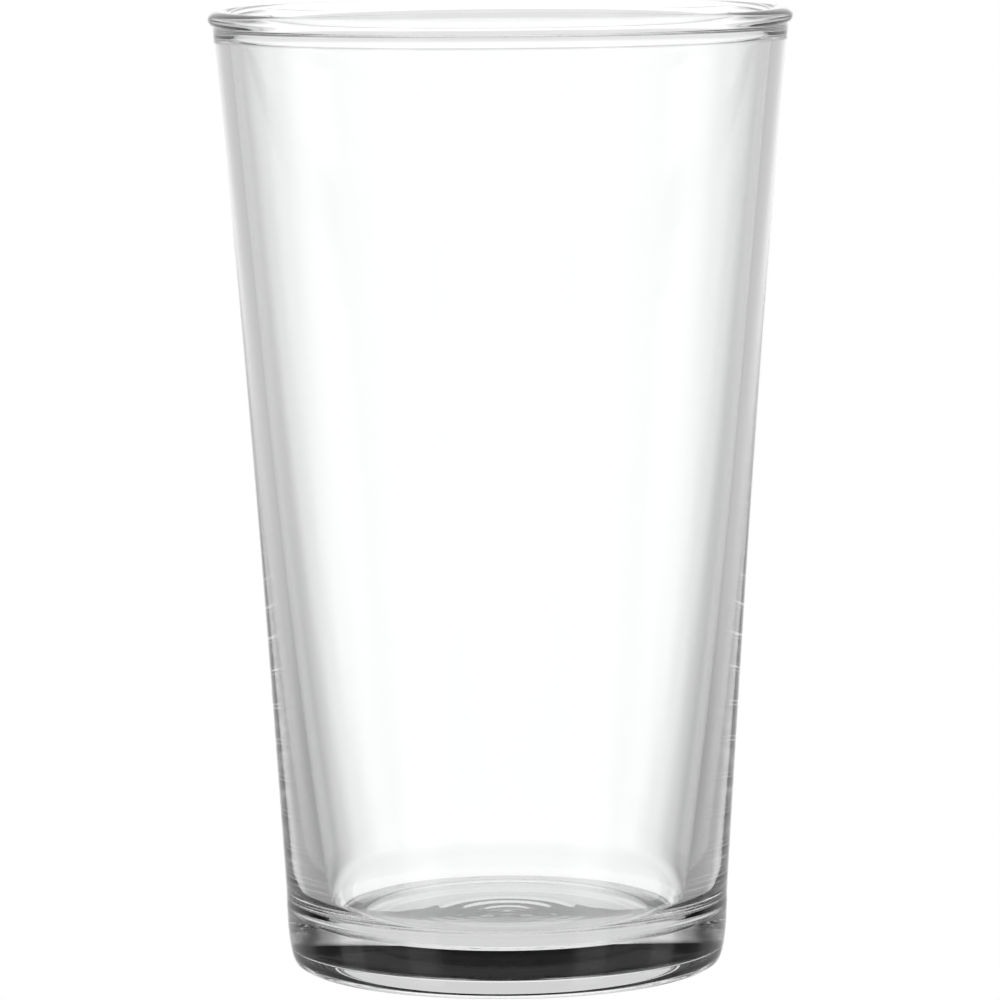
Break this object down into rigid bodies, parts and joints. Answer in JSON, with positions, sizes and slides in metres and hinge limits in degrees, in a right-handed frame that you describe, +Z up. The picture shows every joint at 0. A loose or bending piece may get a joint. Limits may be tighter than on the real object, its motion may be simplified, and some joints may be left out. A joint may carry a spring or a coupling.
{
  "type": "pint glass",
  "caption": "Straight-sided conical tumbler of clear glass with a rounded rim and a thick base, for serving a long drink.",
  "frame": {"origin": "centre of the ring that the glass stands on, at table height", "axes": "+Z up along the axis of the glass, towards the rim"},
  "size_m": [0.0916, 0.0916, 0.1508],
  "materials": {
    "clear_glass": "fire-polished, clear and colourless"
  },
  "bodies": {
    "root": {"glass_body": "clear_glass"}
  },
  "joints": []
}
